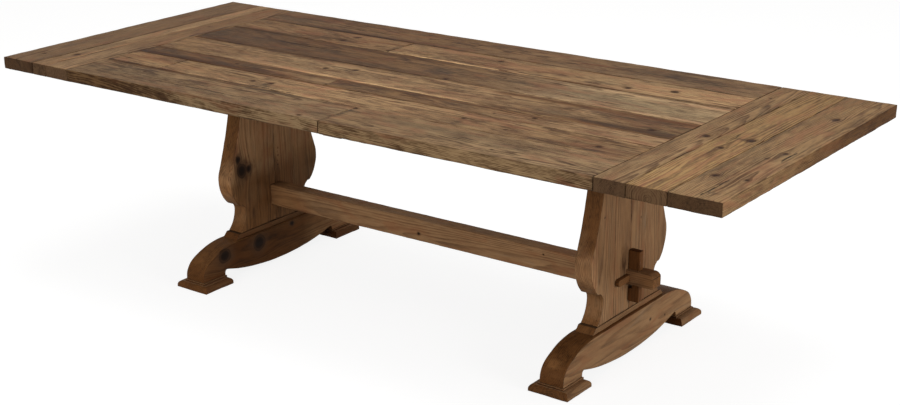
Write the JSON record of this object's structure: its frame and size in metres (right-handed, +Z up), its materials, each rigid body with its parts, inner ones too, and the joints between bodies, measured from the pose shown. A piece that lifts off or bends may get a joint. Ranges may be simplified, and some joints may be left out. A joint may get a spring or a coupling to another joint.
{
  "type": "trestle dining table",
  "caption": "Long dining table with a plank top and cross boards at its ends, on two urn-shaped trestles with sledge feet and a keyed through-tenon stretcher.",
  "frame": {"origin": "on the floor under the middle of the table top", "axes": "+X along the table's length, +Y towards the back plank, +Z up"},
  "size_m": [2.755, 1.14, 0.762],
  "materials": {
    "top_planks": "matte oiled reclaimed softwood",
    "end_boards": "matte oiled reclaimed softwood",
    "trestle_wood": "matte stained softwood",
    "underframe_wood": "matte stained softwood",
    "stretcher_wood": "matte stained softwood",
    "key_wood": "matte stained hardwood",
    "spline_wood": "bare hardwood",
    "screw_steel": "zinc-plated"
  },
  "bodies": {
    "table": {"back_plank": "top_planks", "batten_screws": "screw_steel", "fifth_row_left": "top_planks", "fifth_row_right": "top_planks", "fourth_row_plank": "top_planks", "front_rail_left": "top_planks", "front_rail_right": "top_planks", "left_back_inner_stave": "trestle_wood", "left_back_outer_stave": "trestle_wood", "left_back_pad": "trestle_wood", "left_bearer": "underframe_wood", "left_bearer_screws": "screw_steel", "left_cross_spline_1": "spline_wood", "left_cross_spline_2": "spline_wood", "left_end_spline": "spline_wood", "left_foot": "trestle_wood", "left_front_inner_stave": "trestle_wood", "left_front_outer_stave": "trestle_wood", "left_front_pad": "trestle_wood", "left_inner_board": "end_boards", "left_middle_board": "end_boards", "left_outer_board": "end_boards", "left_plinth": "trestle_wood", "middle_batten": "underframe_wood", "pad_screws": "screw_steel", "right_back_inner_stave": "trestle_wood", "right_back_outer_stave": "trestle_wood", "right_back_pad": "trestle_wood", "right_bearer": "underframe_wood", "right_bearer_screws": "screw_steel", "right_cross_spline_1": "spline_wood", "right_cross_spline_2": "spline_wood", "right_end_spline": "spline_wood", "right_foot": "trestle_wood", "right_front_inner_stave": "trestle_wood", "right_front_outer_stave": "trestle_wood", "right_front_pad": "trestle_wood", "right_inner_board": "end_boards", "right_middle_board": "end_boards", "right_outer_board": "end_boards", "right_plinth": "trestle_wood", "row_spline_1": "spline_wood", "row_spline_2": "spline_wood", "row_spline_3": "spline_wood", "row_spline_4": "spline_wood", "row_spline_5": "spline_wood", "row_spline_6": "spline_wood", "second_row_left": "top_planks", "second_row_right": "top_planks", "sixth_row_left": "top_planks", "sixth_row_right": "top_planks", "stretcher": "stretcher_wood", "third_row_plank": "top_planks"},
    "left_wedge": {"left_wedge_key": "key_wood"},
    "right_wedge": {"right_wedge_key": "key_wood"},
    "left_cross": {"left_cross_key": "key_wood"},
    "right_cross": {"right_cross_key": "key_wood"}
  },
  "joints": [
    {"name": "left_wedge_lift", "type": "slide", "parent": "table", "child": "left_wedge", "axis": [0, 0, 1], "range_m": [0, 0.025]},
    {"name": "right_wedge_lift", "type": "slide", "parent": "table", "child": "right_wedge", "axis": [0, 0, 1], "range_m": [0, 0.025]},
    {"name": "left_cross_slide", "type": "slide", "parent": "table", "child": "left_cross", "axis": [0, -1, 0], "range_m": [0, 0.12]},
    {"name": "right_cross_slide", "type": "slide", "parent": "table", "child": "right_cross", "axis": [0, 1, 0], "range_m": [0, 0.12]}
  ]
}
